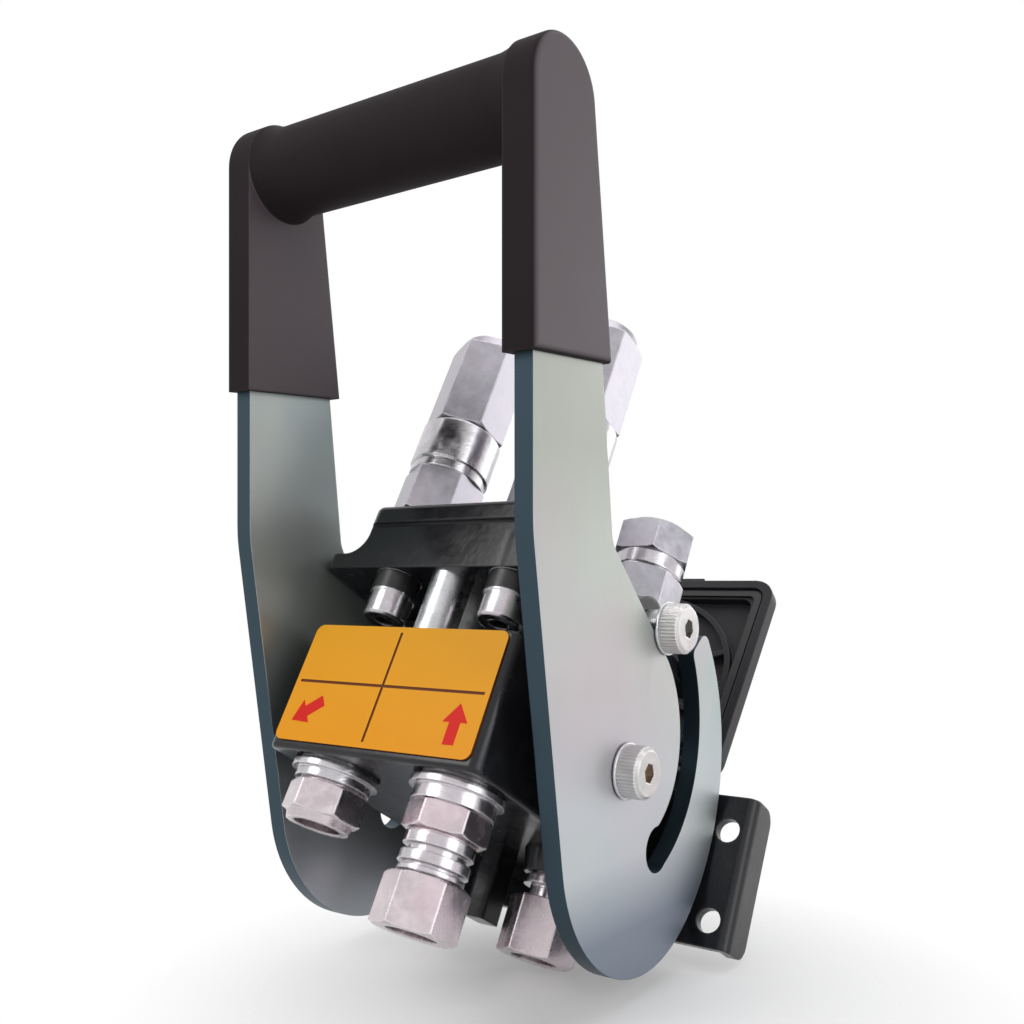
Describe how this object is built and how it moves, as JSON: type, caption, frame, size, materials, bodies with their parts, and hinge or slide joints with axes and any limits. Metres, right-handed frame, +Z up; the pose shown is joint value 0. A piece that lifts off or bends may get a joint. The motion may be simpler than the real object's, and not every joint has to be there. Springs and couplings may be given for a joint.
{
  "type": "hydraulic multi coupler",
  "caption": "Lever-operated multi coupler that joins hydraulic lines in one stroke, with cam plates, a sliding half, a dust lid and a mounting bracket.",
  "frame": {"origin": "centre of the bracket's rear mounting face, midway between its four holes", "axes": "+X across the two lever plates, +Y to the rear, +Z up along the upright lever arms; the mounting face leans, its normal points to the rear and 30 degrees down"},
  "size_m": [0.151, 0.23, 0.2957],
  "materials": {
    "zinc": "zinc plated sheet, softly brushed, faint blue and pink tint",
    "steel": "ground steel",
    "plated": "turned steel with bright zinc plating",
    "screw": "plated, knurled head",
    "bronze": "plain bearing bronze",
    "black": "glossy black paint over cast iron",
    "panel": "smooth orange plate with dark dividing grooves",
    "grip": "satin moulded grip",
    "seal": "oil resistant rubber",
    "lid": "satin moulded plastic"
  },
  "bodies": {
    "base": {"pivot_screws": "screw", "pivot_washers": "steel", "fixed_block": "black", "pivot_bosses": "black", "block_neck": "black", "block_foot": "black", "front_panel": "panel", "coupling_sockets": "steel", "socket_seals": "seal", "guide_bushes": "bronze", "front_left_collar": "plated", "front_left_nut": "plated", "front_right_collar": "plated", "front_right_nut": "plated", "union_neck": "plated", "union_hose_nut": "plated", "rear_cones": "black", "rear_necks": "plated", "rear_hose_nuts": "plated", "mounting_bracket": "black", "bracket_screws": "screw", "hinge_pin": "steel"},
    "moving_half": {"cam_screws": "screw", "cam_washers": "steel", "mobile_casting": "black", "male_nozzles": "plated", "nozzle_collars": "seal", "guide_pins": "steel", "long_fitting_bases": "plated", "long_fitting_collars": "plated", "long_fitting_bodies": "plated", "short_fitting_bases": "plated", "short_fitting_collars": "plated", "short_fitting_nuts": "plated"},
    "lever": {"lever_plate_right": "zinc", "lever_plate_left": "zinc", "pivot_bushes": "bronze", "lever_cross_tube": "steel", "lever_grip": "grip"},
    "roller_right": {"cam_roller_right": "steel"},
    "roller_left": {"cam_roller_left": "steel"},
    "valves": {"socket_valves": "steel"},
    "lid": {"dust_lid": "lid", "lid_seal": "seal"}
  },
  "joints": [
    {"name": "lever_turn", "type": "hinge", "parent": "base", "child": "lever", "pos_m": [0, -0.06367, 0.04773], "axis": [1, 0, 0], "range_deg": [0, 111]},
    {"name": "half_slide", "type": "slide", "parent": "base", "child": "moving_half", "axis": [0, -0.5, -0.866], "range_m": [0, 0.01665]},
    {"name": "valve_slide", "type": "slide", "parent": "base", "child": "valves", "axis": [0, -0.5, -0.866], "range_m": [0, 0.00765]},
    {"name": "roller_right_spin", "type": "hinge", "parent": "moving_half", "child": "roller_right", "pos_m": [0.0588, -0.03543, 0.09263], "axis": [1, 0, 0], "continuous": true},
    {"name": "roller_left_spin", "type": "hinge", "parent": "moving_half", "child": "roller_left", "pos_m": [-0.0588, -0.03543, 0.09263], "axis": [1, 0, 0], "continuous": true},
    {"name": "lid_hinge", "type": "hinge", "parent": "base", "child": "lid", "pos_m": [0, 0.02065, 0.02976], "axis": [1, 0, 0], "range_deg": [0, 20]}
  ],
  "couplings": [
    {"joint": "half_slide", "follows": "lever_turn", "m_per_rad": 0.0085686},
    {"joint": "valve_slide", "follows": "lever_turn", "m_per_rad": 0.0039229}
  ]
}
